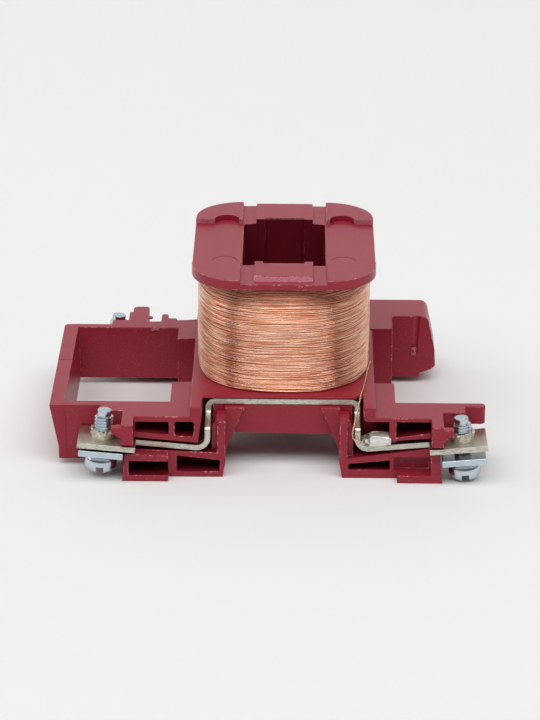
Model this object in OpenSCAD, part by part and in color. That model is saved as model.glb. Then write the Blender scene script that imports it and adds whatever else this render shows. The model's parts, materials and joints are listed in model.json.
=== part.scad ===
// Coil of a block contactor, lying on its feet: bobbin and base in one moulding,
// bare copper winding, two linked screw terminals in front and one at the rear left.
// Frame: +X right, +Y back, +Z up, millimetres. The origin is on the axis of the
// core passage, level with the underside of the feet.

/* [Core and winding] */
// width of the core passage
core_w = 15.6; // [10:0.1:16]
// depth of the core passage
core_d = 23.8; // [18:0.1:26]
// thickness of the tube's side walls
tube_wall = 1.2; // [0.8:0.1:2]
// thickness of the tube's end walls
tube_end = 2.3; // [1.6:0.1:3]
// overall width of the winding
wind_w = 33.0; // [28:0.1:34]
// overall depth of the winding
wind_d = 43.2; // [36:0.1:45]
// squareness of the winding's plan, 2 is an ellipse
wind_n = 2.7; // [2.4:0.1:4]

/* [Flanges] */
// width of both flanges
flange_w = 34.4; // [34:0.1:36]
// depth of the upper flange
flange_d = 45.2; // [44:0.1:47]
// corner radius of the upper flange
flange_r = 9.2; // [4:0.1:14]
// height of the lower flange's upper face
z_low = 14.0; // [13.8:0.1:16]
// height of the upper flange's underside
z_up = 34.8; // [28:0.1:44]
// thickness of the upper flange between its pads
upper_t = 1.1; // [0.8:0.1:2]
// height of the pads on the upper flange
pad_h = 0.85; // [0.4:0.05:1.5]

/* [Base] */
// height of the arms' upper faces
arm_z = 12.1; // [11.8:0.1:13]
// height of the undersides that stand clear of the table
clear_z = 1.25; // [0.5:0.05:3]
// height of the skirt's lower edge
skirt_z = 6.65; // [5:0.05:8]
// front face of the blocks and legs
front_y = -28.8; // [-30:0.1:-28]
// front face of the panel under the lower flange
panel_y = -23.2; // [-24:0.1:-22.6]
// rear face of the rear legs
back_y = 26.2; // [25:0.1:28]
// half of the bridge opening between the front legs
leg_in = 10.6; // [9:0.1:11]
// outer end of the front blocks
block_x = 29.75; // [29:0.05:30]
// reach of the left ring, at its top
ring_x = 43.6; // [42:0.1:46]

/* [Terminals] */
// slope of the terminal plates, rising outwards
tilt = 5; // [3:0.5:6]
// distance of the screws beyond the outer ends of the front blocks
screw_gap = 3.65; // [3.3:0.05:5]
// depth position of the front screws
screw_y = -28.25; // [-29:0.05:-27.5]
// depth position of the rear screw
rear_y = 24.0; // [23.8:0.1:25]
// height of the plates' upper faces at the screws
plate_z = 7.9; // [7.6:0.1:8.2]
// depth of the terminal plates
plate_d = 8.8; // [8:0.1:9]
// thickness of the tinned strips
strip_t = 1.05; // [0.8:0.05:1.1]
// diameter of the screw thread
thread_d = 3.5; // [3:0.5:3.5]
// length of the screws above their heads
shank_l = 8.6; // [8:0.1:10]
// diameter of the screw heads
head_d = 6.0; // [5:0.1:6.4]
// thickness of the clamp plates
clamp_t = 1.25; // [1:0.05:1.5]
// radial clearance of each screw in its collar and clamp plate
run_fit = 0.06; // [0.02:0.01:0.1]
// clamp opening as photographed, front left
gap_fl = 0.5; // [0:0.1:1.6]
// clamp opening as photographed, front right
gap_fr = 1.5; // [0:0.1:1.6]
// clamp opening as photographed, rear left
gap_rl = 1.5; // [0:0.1:1.6]

/* [Hidden] */
$fn = 48;
eps = 0.02;
// how far joined shapes reach into each other
bite = 0.3;
// clearance of the strips in the moulding
seat = 0.05;
z0 = z_up + upper_t;
top_z = z0 + pad_h;
tube_x = core_w / 2 + tube_wall;
tube_y = core_d / 2 + tube_end;
fx = flange_w / 2;
fy = flange_d / 2;

// pads of the upper flange: inner edge of the corner pads, half width of the centre pads
pad_x = 8.05;
pad_mid = 5.45;
pin_r = 2.2;
pin_x = 11.2;

// walls and corner radii of the moulding
skirt_t = 1.2;
ring_t = 1.7;
ring_top = 2.8;
window_r = 0.5;
ring_front = panel_y - 0.2;
ring_back = 18.9;
foot_y = front_y - 2.3;
hook_y = front_y - 4.5;
leg_out = leg_in + 1.5;
roof_gap = 0.55;
floor_z = 4.9;
floor_slope = 0.035;

// strips: terminal plates and sloping runs lie in one plane on each side
screw_x = block_x + screw_gap;
slope = tan(tilt);
leg_x = 13.4;
run_z = 12.4;
run_w = 4.0;
run_lap = 2.15;
bend_low = 1.5;
bend_high = 1.7;
tag_z = 10.4;
function strip_top(x) = plate_z + slope * (abs(x) - screw_x);
function strip_under(x) = strip_top(x) - strip_t - eps;
function roof(x) = strip_top(x) + roof_gap;
function ground(x) = floor_z + floor_slope * (abs(x) - leg_out);

// screws and clamps
boss_h = 0.45;
boss_r = 3.1;
head_h = 3.4;
head_r = head_d / 2;
head_round = 1.3;
dog_r = 1.3;
dog_l = 0.9;
collar_r = 2.05;
collar_h = 1.6;

// Small helpers: a box by its limits, and profiles drawn in the XZ and YZ planes.
module box(x0, x1, y0, y1, za, zb) translate([x0, y0, za]) cube([x1 - x0, y1 - y0, zb - za]);
module xz(y0, y1) translate([0, y1, 0]) rotate([90, 0, 0]) linear_extrude(y1 - y0) children();
module yz(x0, x1) translate([x0, 0, 0]) rotate([90, 0, 90]) linear_extrude(x1 - x0) children();
module both_sides() for (s = [0, 1]) mirror([s, 0, 0]) children();
function unit(v) = v / norm(v);
function arc(cx, cy, r, a0, a1, n) = [for (i = [0:n])
    let(a = a0 + (a1 - a0) * i / n) [cx + r * cos(a), cy + r * sin(a)]];

// An outline with each corner rounded, by r or by the point's own third number. The centre
// of each arc lies on the corner's bisector.
function short_turn(a) = a > 180 ? a - 360 : a < -180 ? a + 360 : a;
function corner(before, at, after, r, n) =
    let(u = unit(before - at), v = unit(after - at), half = acos(u * v) / 2)
    let(centre = at + unit(u + v) * r / sin(half))
    let(s = at + u * r / tan(half) - centre, e = at + v * r / tan(half) - centre)
    let(a = atan2(s[1], s[0]), turn = short_turn(atan2(e[1], e[0]) - a))
    arc(centre[0], centre[1], r, a, a + turn, n);
function flat(p) = [p[0], p[1]];
function softened(p, r, n = 5) = let(m = len(p)) [for (i = [0:m - 1]) each
    corner(flat(p[(i + m - 1) % m]), flat(p[i]), flat(p[(i + 1) % m]), is_undef(p[i][2]) ? r : p[i][2], n)];

// Plans of the flange and of the winding.
module flange_plan() polygon(softened([[-fx, -fy], [fx, -fy], [fx, fy], [-fx, fy]], flange_r, 16));
function power(v, e) = sign(v) * pow(abs(v), e);
function superellipse(a, b, e, n) = [for (i = [0:n - 1])
    let(t = 360 * i / n) [a * power(cos(t), 2 / e), b * power(sin(t), 2 / e)]];

// Upper flange: a plate with raised corner pads, two raised centre pads and four channels.
module centre_pad(top, foot) yz(-pad_mid, pad_mid)
    polygon([[core_d / 2 - bite, z0 - bite], [core_d / 2 - bite, top_z], [top, top_z], [foot, z0],
        [foot, z0 - bite]]);

module upper_flange() {
    translate([0, 0, z_up]) linear_extrude(upper_t) flange_plan();
    translate([0, 0, z0 - bite]) linear_extrude(pad_h + bite) intersection() {
        flange_plan();
        for (sx = [0, 1], sy = [0, 1]) mirror([sx, 0]) mirror([0, sy])
            translate([pad_x, core_d / 2]) square([fx, fy]);
    }
    mirror([0, 1, 0]) centre_pad(fy - 2.6, fy - 1.7);
    centre_pad(fy - 1.0, fy - 0.15);
}

// Passage for the middle leg of the core with its shallow recesses, and the round notches
// that the ejector pins leave in the corner pads.
module core_passage() {
    for (cut = [[core_w / 2, 0], [5.4, 0.2], [3.8, 1.0]])
        box(-cut[0], cut[0], -core_d / 2 - cut[1], core_d / 2 + cut[1], skirt_z - 1, top_z + 1);
    for (sx = [-1, 1], sy = [-1, 1])
        translate([sx * pin_x, sy * (core_d / 2 - 1), z0]) cylinder(r = pin_r, h = 2 * pad_h);
}

// Lower flange, the skirt under it, the tube, and the housing of the strip's upper run.
module bobbin_core() {
    box(-tube_x, tube_x, -tube_y, tube_y, skirt_z, z_up + bite);
    difference() {
        box(-fx, fx, panel_y, fy, skirt_z, z_low);
        box(skirt_t - fx, fx - skirt_t, panel_y + skirt_t, fy - skirt_t, skirt_z - 1, arm_z - bite);
    }
    box(skirt_t / 2 - fx, fx - skirt_t / 2, panel_y + skirt_t / 2, panel_y + run_w + 1.6, run_z - 1.2, z_low - bite);
    both_sides() box(leg_x - 1.4, fx - skirt_t / 2, panel_y + run_w + 1, panel_y + run_w + 2, clear_z, run_z);
}

// Left ring with its window, and the blocks beside the winding.
module left_ring() {
    xz(ring_front - 0.1, ring_back)
        polygon([[-ring_x, arm_z], [ring_top - ring_x, arm_z], [ring_top + 0.3 - ring_x, clear_z],
        [2.1 - ring_x, clear_z]]);
    box(1.6 - ring_x, -29, ring_front, ring_front + 2.1, clear_z, arm_z);
    box(1.6 - ring_x, -fx + 0.7, ring_back - ring_t, ring_back, clear_z, arm_z);
    box(-fx - 3.9, -fx + 0.7, ring_front, -11.3, clear_z, arm_z);
    box(-fx - 3.7, -fx + 0.7, 11.3, ring_back - 0.1, clear_z, arm_z);
    box(-block_x - 4.35, -block_x + bite, ring_front - 2.5, ring_front + 2, roof(block_x) + 0.7, arm_z);
}

// What both front corners share: legs, braces of the bridge opening, guards beside the
// strip's uprights and ribs under its sloping runs.
module strip_rest(x, y0, y1) xz(y0, y1)
    polygon([[x, floor_z - 1], [x + skirt_t, floor_z - 1], [x + skirt_t, strip_under(x + skirt_t)],
        [x, strip_under(x)]]);

module leg(y0, y1) xz(y0, y1)
    polygon([[leg_in + 0.5, 0], [leg_out, 0], [leg_out, run_z - 1.25], [leg_in, run_z - 1.25],
        [leg_in, 2.9]]);

module front_legs() both_sides() {
    leg(front_y, panel_y + 0.5);
    xz(panel_y - skirt_t, panel_y + 0.5)
        polygon([[leg_in + 0.1, arm_z], [leg_in - 3.5, arm_z], [leg_in + 0.1, 3.4]]);
    xz(front_y + 1.5, panel_y + 0.2)
        polygon([[leg_out + 1.1, 3.5], [leg_in + 0.9, 3.5], [leg_in + 0.9, run_z - 1.3],
            [leg_out + 0.2, run_z - 1.3], [leg_out + 1.1, 9.6]]);
}

// Hook beside a front terminal plate, drawn for the left.
module hook() {
    box(-block_x, 2.25 - block_x, hook_y, front_y + 0.2, roof(block_x), arm_z);
    difference() {
        box(-block_x - 1.75, -block_x + bite, hook_y, hook_y + ring_t, roof(block_x), arm_z - 0.5);
        translate([-block_x - 1.85, hook_y - 1, roof(block_x)]) rotate([-90, 0, 0])
            cylinder(r = 2.1, h = 4);
    }
}

// Front left: roof over the strip with two windows, floor under it and a hollow foot.
module front_left() {
    xz(front_y, panel_y + skirt_t)
        polygon([[-block_x, arm_z], [-15.1, arm_z], [-15.1, 11.5], [-15.7, roof(15.7)],
            [-block_x, roof(block_x)]]);
    box(-fx, -15.05, front_y, panel_y + 0.5, arm_z - 0.6, z_low);
    hook();
    box(-block_x - 0.25, -fx + 0.2, ring_front, ring_front + 2.1, 0, arm_z);
    xz(front_y, panel_y + 1.6)
        polygon([[-block_x, 0], [-leg_out + 0.1, 0], [-leg_out + 0.1, ground(leg_out)],
        [-29.2, ground(29.2)]]);
    xz(foot_y, front_y + 0.1)
        polygon([[-block_x, 0], [-21.2, 0], [-21.2, ground(21.2) - 0.1], [-29.2, ground(29.2)]]);
    mirror([1, 0, 0]) strip_rest(19.4, front_y + 0.8, front_y + run_w);
}

module front_left_pockets() {
    xz(front_y - 1, panel_y - 0.4) {
        polygon(softened([[-27.4, 11.05], [-21.1, 11.05], [-21.1, roof(21.1) + 1.05],
            [-27.4, roof(27.4) + 1.1]], window_r));
        polygon(softened([[-20, 11.05], [-16.4, 11.05], [-16.55, roof(16.55) + 1.1],
            [-20, roof(20) + 1]], window_r));
        polygon(softened([[-19.65, 1.1], [-leg_out + 0.45, 1.1], [-leg_out + 0.45, 3.35],
            [-19.65, 4.25]], window_r / 2));
    }
    box(-28.5, -20, foot_y - 1, front_y, 1.2, 4);
    box(-28.5, -21.3, front_y - 0.1, panel_y - 0.4, 1.2, 4);
    box(-20, -15.9, ring_front + skirt_t, -12.5, -1, arm_z - skirt_t);
    box(-19.7, -15.9, 12.5, ring_back - ring_t, -1, arm_z - skirt_t);
}

// Front right: thinner roof, sloping floor and an open foot.
module front_right() {
    box(15.1, block_x, front_y, panel_y + 2.2, arm_z - 0.8, arm_z);
    box(block_x - bite, block_x + 4.25, panel_y - 2.7, panel_y + 2.2, 8.6, arm_z);
    box(block_x + 4, block_x + 7.15, panel_y + 0.3, panel_y + 2.2, 8.6, arm_z);
    translate([block_x + 7.15, panel_y + 1.25, 8.6]) cylinder(r = 0.95, h = arm_z - 8.6);
    box(fx - 0.2, block_x - 0.05, panel_y + 0.2, panel_y + 2.2, 0, arm_z);
    box(19.8, 21.1, front_y, panel_y + skirt_t, 7.2, arm_z);
    xz(front_y, panel_y + skirt_t) polygon([[19.8, roof(19.8) + 0.25], [block_x, roof(block_x) + 0.2],
        [block_x, roof(block_x) + 1.25], [27.5, roof(27.5) + 1.2], [20.5, roof(20.5) + 0.75]]);
    box(27.5, block_x, front_y, panel_y + skirt_t, 8.3, arm_z);
    xz(front_y, panel_y + 0.5)
        polygon(concat([[15, z_low]], arc(16.1, 12.7, 1.1, 180, 270, 6), [[fx, 11.6], [fx, z_low]]));
    mirror([1, 0, 0]) hook();
    box(fx - 0.7, fx + 3.9, panel_y + 0.2, -11.3, clear_z, arm_z);
    xz(front_y, panel_y + 2) polygon([[leg_out - 0.1, 0], [27.6, 0], [27.6, 6.1], [leg_out - 0.1, 3.85]]);
    xz(foot_y, panel_y + 2) polygon([[27.5, 0], [block_x, 0], [29.2, 5.8], [27.5, 5.8]]);
    box(21.3, 29.6, foot_y, front_y + 0.2, 0, 1.5);
    strip_rest(21.5, front_y + 0.8, front_y + run_w);
}

module front_right_pockets() {
    xz(front_y - 1, panel_y)
        polygon(softened([[leg_out + 0.2, 1.7], [20, 1.7], [20, 3.6], [leg_out + 0.2, 2.8]], window_r / 2));
    box(20.7, 27.4, front_y - 1, front_y + skirt_t, 1.6, 4.3);
    box(fx - 0.2, 20, panel_y + 1.4, -12.5, -1, arm_z - skirt_t);
}

// Rear: terminal side on the left, plain rounded block on the right.
module rear_left_arm() {
    under = plate_z + 0.5;
    box(-31, -fx + 0.2, ring_back - 0.1, 20.6, plate_z + 0.15, arm_z);
    translate([0, 0, under]) linear_extrude(arm_z - under) polygon(softened([[-34.2, ring_back - 0.1],
        [-34.2, 21.5, 0.6], [-31, 21.5], [-31, 26], [-30.3, 26], [-30.3, 29.1, 0.9], [-27.1, 29.1, 0.9],
        [-27.1, 20.5], [-24.5, 20.5], [-24.5, 24.9, 0.6], [-23.1, 24.9, 0.6], [-23.1, fy], [-21.4, fy],
        [-21.4, fy - 1], [-fx + 0.2, fy - 1], [-fx + 0.2, ring_back - 0.1]], 0.2));
    box(-27, -fx + 0.2, fy - 2.1, fy - 0.9, 0, under + 0.1);
    xz(fy - 1, back_y) polygon([[-block_x, 0], [-leg_out + 0.1, 0], [-leg_out + 0.1, ground(leg_out)],
        [-29.2, ground(29.2)]]);
    mirror([1, 0, 0]) strip_rest(19.4, fy + 0.2, back_y - 0.6);
}

module rear_right_block() {
    block_top = z_low + 0.2;
    xz(ring_back + 0.2, back_y + 2.4)
        polygon(concat([[fx - 0.4, clear_z], [27.1, clear_z], [27.2, 2.1], [29.4, 2.85], [30.25, 3.6],
        [30.1, 6.9]],
        arc(27.2, block_top - 1.7, 1.7, 20, 90, 5), [[fx - 0.4, block_top]]));
    box(fx - 0.6, fx + 4.2, 12, ring_back + 0.4, clear_z, block_top);
}

module rear_pockets() {
    xz(fy - 0.2, back_y + 1) polygon([[-28.3, 1.2], [-leg_out - 1.1, 1.2], [-leg_out - 1.1, 3.7], [-28, 4.2]]);
    box(17.8, 26, 20.4, back_y + 3, 2.6, 12.8);
    box(fx - 0.2, 20.1, 13.2, 18, -1, 12.8);
}

// Slot for the strip's upper run and its two uprights, and the notch for the lead in the lip.
module strip_slot() {
    box(-leg_x - 1.6, leg_x + 1.6, panel_y - 1, panel_y + run_w + 1, run_z - seat, run_z + strip_t + 2 * seat);
    both_sides() box(leg_x - 0.4, leg_x + 1.6, panel_y - 1, panel_y + run_w + 1, 3.2, run_z + 0.35);
    box(notch_x - 0.6, notch_x + 0.6, panel_y - 1, panel_y + 0.8, run_z + 0.6, z_low + 1);
}

// The lower flange's front lip slopes off between the blocks.
module lip_slope() yz(-15.05, 15)
    polygon([[panel_y - 1, z_low + 1], [panel_y - 1, z_low - 0.3], [panel_y, z_low - 0.3],
        [panel_y + 0.7, z_low], [panel_y + 0.7, z_low + 1]]);

module bobbin_frame() color([0.5, 0.14, 0.19]) difference() {
    union() {
        upper_flange();
        bobbin_core();
        left_ring();
        front_left();
        front_right();
        front_legs();
        rear_left_arm();
        rear_right_block();
        both_sides() leg(fy - 0.5, back_y);
    }
    core_passage();
    strip_slot();
    lip_slope();
    front_left_pockets();
    front_right_pockets();
    rear_pockets();
}

module winding() color([0.72, 0.45, 0.3]) translate([0, 0, z_low + eps])
    linear_extrude(z_up - z_low - 2 * eps) difference() {
    polygon(superellipse(wind_w / 2, wind_d / 2, wind_n, 96));
    square([2 * tube_x + 2 * eps, 2 * tube_y + 2 * eps], center = true);
}

// Outlines of a strip, right half. In the XZ plane: the sloping run with its bend, and the
// upper run with its bend. In the YZ plane: the upright, whose front edge swings back from
// the blocks' front face to the panel over a sloping shoulder with a round nose.
low_x = leg_x + strip_t + bend_low;
low_z = strip_top(low_x) + bend_low / cos(tilt);
high_x = leg_x + strip_t - bend_high;
high_z = run_z + strip_t - bend_high;
run_end = [block_x - run_lap, strip_top(block_x - run_lap)];
run_down = [strip_t * sin(tilt), -strip_t * cos(tilt)];
knee_z = low_z + 0.5;
shoulder = 10;
nose_r = 0.9;
nose = [front_y + seat + nose_r, run_z - 3.3];
neck_r = 0.8;
neck_y = panel_y + seat - neck_r;
nose_end = nose + nose_r * [cos(90 + shoulder), sin(90 + shoulder)];
neck_z = nose_end[1] + (neck_y + neck_r * sin(shoulder) - nose_end[0]) * tan(shoulder) + neck_r * cos(shoulder);

module strip_run(top)
    polygon(concat([[leg_x + strip_t, top]], arc(low_x, low_z, bend_low, 180, 270 + tilt, 8),
    [run_end, run_end + run_down], arc(low_x, low_z, bend_low + strip_t, 270 + tilt, 180, 8),
        [[leg_x, top]]));

module strip_upright() yz(leg_x, leg_x + strip_t)
    polygon(concat([[front_y + run_w, knee_z - 0.5], [front_y + seat, knee_z - 0.5]],
    arc(nose[0], nose[1], nose_r, 180, 90 + shoulder, 6), arc(neck_y, neck_z, neck_r, shoulder - 90, 0, 6),
    [[panel_y + seat, high_z], [panel_y + run_w, high_z], [panel_y + run_w, neck_z - 2.5]]));

module strip_bridge() polygon(concat([[0, run_z + strip_t]], arc(high_x, high_z, bend_high, 90, 0, 8),
    [[leg_x + strip_t, high_z - 1], [leg_x, high_z - 1]],
        arc(high_x, high_z, bend_high - strip_t, 0, 90, 8), [[0, run_z]]));

// Terminal plate with its collar, in the frame of a terminal: origin where the screw
// axis meets the plate's upper face, Z along the screw. Drawn for the right.
module terminal_plate() difference() {
    union() {
        box(-6.25, 4.5, -plate_d / 2, plate_d / 2, -strip_t, 0);
        cylinder(r = collar_r, h = collar_h);
    }
    translate([0, 0, -strip_t - 1]) cylinder(r = thread_d / 2 + run_fit, h = strip_t + collar_h + 2);
}

// Places children at a terminal: side +1 is right, -1 is left.
module at_terminal(side, y) translate([side * screw_x, y, plate_z]) rotate([0, -side * tilt, 0])
    mirror([side < 0 ? 1 : 0, 0, 0]) children();

module front_link_strip() color([0.84, 0.82, 0.76]) union() {
    both_sides() {
        xz(front_y + seat, front_y + run_w) strip_run(knee_z);
        strip_upright();
        xz(panel_y + seat, panel_y + run_w) strip_bridge();
    }
    at_terminal(1, screw_y) terminal_plate();
    at_terminal(-1, screw_y) terminal_plate();
}

module rear_terminal_strip() color([0.84, 0.82, 0.76]) union() {
    mirror([1, 0, 0]) xz(fy + seat, back_y - 0.5) strip_run(tag_z - 2);
    box(-leg_x - strip_t, -leg_x, fy + 0.5, back_y - 0.5, tag_z - 2.4, tag_z);
    at_terminal(-1, rear_y) terminal_plate();
}

// Screw and clamp plate, in the frame of a terminal, for a given opening of the clamp.
module screw(gap) color([0.75, 0.79, 0.82])
    translate([0, 0, -strip_t - gap - clamp_t - boss_h]) rotate_extrude()
    polygon(concat([[0, -head_h]], arc(head_r - head_round, head_round - head_h, head_round, -90, 0, 6),
        [[head_r, -0.3], [head_r - 0.25, -eps], [thread_d / 2, -eps], [thread_d / 2, shank_l - dog_l - 0.3],
        [dog_r, shank_l - dog_l], [dog_r, shank_l], [0, shank_l]]));

module clamp(gap) color([0.75, 0.79, 0.82]) translate([0, 0, -strip_t - gap - clamp_t]) difference() {
    union() {
        box(-4.15, 4.15, -4.25, 4.25, 0, clamp_t);
        translate([0, 0, -boss_h]) cylinder(r = boss_r, h = boss_h + 0.2);
    }
    translate([0, 0, -boss_h - 1]) cylinder(r = thread_d / 2 + run_fit, h = boss_h + clamp_t + 2);
}

module front_left_screw() at_terminal(-1, screw_y) screw(gap_fl);
module front_right_screw() at_terminal(1, screw_y) screw(gap_fr);
module rear_left_screw() at_terminal(-1, rear_y) screw(gap_rl);
module front_left_clamp() at_terminal(-1, screw_y) clamp(gap_fl);
module front_right_clamp() at_terminal(1, screw_y) clamp(gap_fr);
module rear_left_clamp() at_terminal(-1, rear_y) clamp(gap_rl);

// Lead wire: one tube swept along its points, with a ring of lead_n corners at each.
lead_r = 0.18;
lead_n = 8;
lead_gap = lead_r + 0.04;
lead_z = z_low + lead_gap;
notch_x = leg_x + 1.0;
foot_z = strip_top(leg_x);
front_path = [
    [wind_w / 2 + 0.16, -5.5, lead_z],
    [wind_w / 2 - 0.52, -10.3, lead_z],
    [notch_x + 0.9, -17.3, lead_z],
    [notch_x + 0.1, panel_y + 0.3, lead_z],
    [notch_x + 0.05, panel_y - 0.25, z_low - 0.15],
    [leg_x + 0.35, (panel_y + front_y) / 2 - 0.25, run_z - 0.65],
    [leg_x - 0.2, front_y + 0.2, nose_end[1]],
    [leg_x - 0.42, front_y - 0.5, foot_z + 3.15],
    [leg_x - 0.35, front_y - 0.5, foot_z + 2.35],
    [leg_x - 0.05, front_y - 0.4, foot_z + 1.7],
    [leg_x + 1.2, front_y - 0.2, foot_z + 1.15]];
rear_path = [
    [-wind_w / 2 - lead_gap, 5.5, lead_z],
    [-wind_w / 2 + 0.9, 15.2, lead_z],
    [-leg_x - 1.2, fy + 0.3, lead_z],
    [-leg_x - 0.9, fy + 2.0, tag_z + 2],
    [-leg_x - 0.5, fy + 2.3, tag_z + 0.5]];
function along(path, i) = unit(path[min(i + 1, len(path) - 1)] - path[max(i - 1, 0)]);
function ring(p, t) = let(u = unit(cross(t, [1, 0, 0])), v = cross(t, u))
    [for (k = [0:lead_n - 1]) p + lead_r * (cos(360 * k / lead_n) * u + sin(360 * k / lead_n) * v)];
module lead(path) {
    last = len(path) - 1;
    sides = [for (i = [0:last - 1], k = [0:lead_n - 1])
        let(a = i * lead_n + k, b = i * lead_n + (k + 1) % lead_n)
        [a, a + lead_n, b + lead_n, b]];
    ends = [[for (k = [0:lead_n - 1]) k], [for (k = [lead_n - 1:-1:0]) last * lead_n + k]];
    polyhedron([for (i = [0:last]) each ring(path[i], along(path, i))], concat(sides, ends));
}
module front_lead() color([0.72, 0.42, 0.28]) lead(front_path);
module rear_lead() color([0.72, 0.42, 0.28]) lead(rear_path);

// Solder: a flat-topped bead on the sloping run, which laps over the run's front edge and
// the foot of the upright, and a blob over the rear tag's end. Each has a hole for its lead.
bead_x = leg_x + 0.7;
bead_l = 6.25;
bead_z = strip_top(bead_x) + 2.1;
bead_front = front_y - 0.4;
bead_d = 3.3;
bead_r = 0.45;
blob_r = 1.3;
module lead_end(path, r) {
    n = len(path);
    d = path[n - 1] - path[n - 2];
    translate(path[n - 2]) rotate([0, acos(d[2] / norm(d)), atan2(d[1], d[0])])
        cylinder(r = r, h = norm(d) + eps);
}

module front_solder() color([0.8, 0.82, 0.84]) difference() {
    intersection() {
        xz(bead_front - 1, bead_front + bead_d + 1)
            polygon(softened([[bead_x, 5], [bead_x, bead_z - 0.8], [bead_x + 2.6, bead_z],
            [bead_x + bead_l, bead_z + 0.1], [bead_x + bead_l, 5]], bead_r));
        yz(bead_x - 1, bead_x + bead_l + 1) polygon(softened([[bead_front, 5], [bead_front, bead_z - 0.1],
            [bead_front + bead_d, bead_z + 0.2], [bead_front + bead_d, 5]], bead_r));
    }
    box(19.8 - seat, bead_x + 9, front_y - seat, front_y + 9, 0, arm_z);
    translate([eps, 0, eps]) xz(front_y - 5, front_y + 9) {
        strip_run(run_z);
        polygon([[leg_x - 1, 0], [bead_x + 9, 0], [bead_x + 9, strip_top(bead_x + 9)],
            [low_x, strip_top(low_x)], [leg_x - 1, low_z]]);
    }
    lead_end(front_path, lead_r + eps);
}

module rear_solder() color([0.8, 0.82, 0.84]) difference() {
    translate([-leg_x - strip_t / 2, fy + 1.8, tag_z - 0.2]) sphere(r = blob_r);
    box(-leg_x - strip_t - eps, -leg_x + eps, fy + 0.4, back_y - 0.4, tag_z - 2.4, tag_z + eps);
    lead_end(rear_path, lead_r + eps);
}

bobbin_frame();
winding();
front_lead();
rear_lead();
front_link_strip();
rear_terminal_strip();
front_left_screw();
front_right_screw();
rear_left_screw();
front_left_clamp();
front_right_clamp();
rear_left_clamp();
front_solder();
rear_solder();
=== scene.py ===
# %% [markdown]
# Contactor coil
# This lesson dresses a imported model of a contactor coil: a dark red moulded bobbin with
# its base, a copper winding, tinned connecting strips and three clamp screw terminals.
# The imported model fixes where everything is. Here each piece gets its edges, its surface
# and the fine geometry that a drawing leaves out.

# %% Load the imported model
import itertools
import json
import math

import bmesh
import bpy
from mathutils import Matrix, Vector, geometry, noise
from mathutils.bvhtree import BVHTree


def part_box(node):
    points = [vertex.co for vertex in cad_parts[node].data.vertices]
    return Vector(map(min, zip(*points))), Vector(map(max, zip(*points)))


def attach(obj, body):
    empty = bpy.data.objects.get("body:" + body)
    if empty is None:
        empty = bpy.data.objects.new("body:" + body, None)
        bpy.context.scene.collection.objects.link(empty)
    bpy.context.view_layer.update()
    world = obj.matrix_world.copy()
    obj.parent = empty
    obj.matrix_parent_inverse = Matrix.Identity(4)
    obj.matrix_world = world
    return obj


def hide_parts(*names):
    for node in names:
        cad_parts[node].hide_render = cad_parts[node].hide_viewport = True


MM = 0.001
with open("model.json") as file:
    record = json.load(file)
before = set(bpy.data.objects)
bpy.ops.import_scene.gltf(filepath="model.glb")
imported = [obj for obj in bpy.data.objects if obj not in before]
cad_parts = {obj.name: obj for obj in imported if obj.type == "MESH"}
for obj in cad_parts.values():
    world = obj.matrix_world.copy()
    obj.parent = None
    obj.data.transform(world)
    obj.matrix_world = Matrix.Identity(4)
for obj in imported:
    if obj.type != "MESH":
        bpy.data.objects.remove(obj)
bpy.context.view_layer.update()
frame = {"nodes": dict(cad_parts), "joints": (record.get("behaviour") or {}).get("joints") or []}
scene = bpy.context.scene
scene.view_settings.view_transform = "Standard"

# %% [markdown]
# The camera
# The photograph was taken with a long lens from about 0.6 m, looking down at 21.5 degrees.
# A long lens keeps the upright edges nearly parallel, so the focal length matters as much
# as the angle. The camera is built from its own three axes, because a small roll and yaw
# are easier to state that way than as Euler angles.

# %% Camera
VIEW_TARGET = Vector((-2.602, 0.0, 12.160)) * MM
VIEW_DISTANCE = 613.6 * MM
VIEW_ELEVATION = math.radians(21.53)
VIEW_YAW = math.radians(0.41)
VIEW_ROLL = math.radians(0.31)
LENS, SENSOR_WIDTH = 158.65, 36.0
NEAREST, FARTHEST = 0.01, 20.0


def make_camera():
    back = Vector((
        math.sin(VIEW_YAW) * math.cos(VIEW_ELEVATION),
        -math.cos(VIEW_YAW) * math.cos(VIEW_ELEVATION),
        math.sin(VIEW_ELEVATION),
    ))
    level = Vector((math.cos(VIEW_YAW), math.sin(VIEW_YAW), 0.0))
    rise = back.cross(level)
    right = math.cos(VIEW_ROLL) * level + math.sin(VIEW_ROLL) * rise
    up = back.cross(right)
    data = bpy.data.cameras.new("camera")
    data.lens, data.sensor_width = LENS, SENSOR_WIDTH
    data.clip_start, data.clip_end = NEAREST, FARTHEST
    camera = bpy.data.objects.new("camera", data)
    camera.matrix_world = Matrix.LocRotScale(
        VIEW_TARGET + back * VIEW_DISTANCE,
        Matrix((right, up, back)).transposed(),
        None,
    )
    scene.collection.objects.link(camera)
    return camera


scene.camera = make_camera()
print("camera at", [round(v / MM) for v in scene.camera.location], "mm")

# %% [markdown]
# Shader expressions
# Node trees are easier to read as formulas. A Socket wraps one output and overloads the
# arithmetic operators, each of which adds a Math node. A Finish wraps a material and has
# one method that makes any other node.

# %% Sockets and finishes


class Socket:
    """One node output that can stand in a Python expression."""

    def __init__(self, finish, output):
        self.finish, self.output = finish, output

    def math(self, operation, first, second=0.0):
        return self.finish.node("ShaderNodeMath", {"operation": operation}, {0: first, 1: second})

    def __add__(self, other):
        return self.math("ADD", self, other)

    def __sub__(self, other):
        return self.math("SUBTRACT", self, other)

    def __rsub__(self, other):
        return self.math("SUBTRACT", other, self)

    def __mul__(self, other):
        return self.math("MULTIPLY", self, other)

    __radd__, __rmul__ = __add__, __mul__

    def ramp(self, low, high):
        """0 below low, 1 above high, smooth between."""
        return self.finish.node(
            "ShaderNodeMapRange",
            {"interpolation_type": "SMOOTHSTEP"},
            {"Value": self, "From Min": low, "From Max": high},
        )


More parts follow.
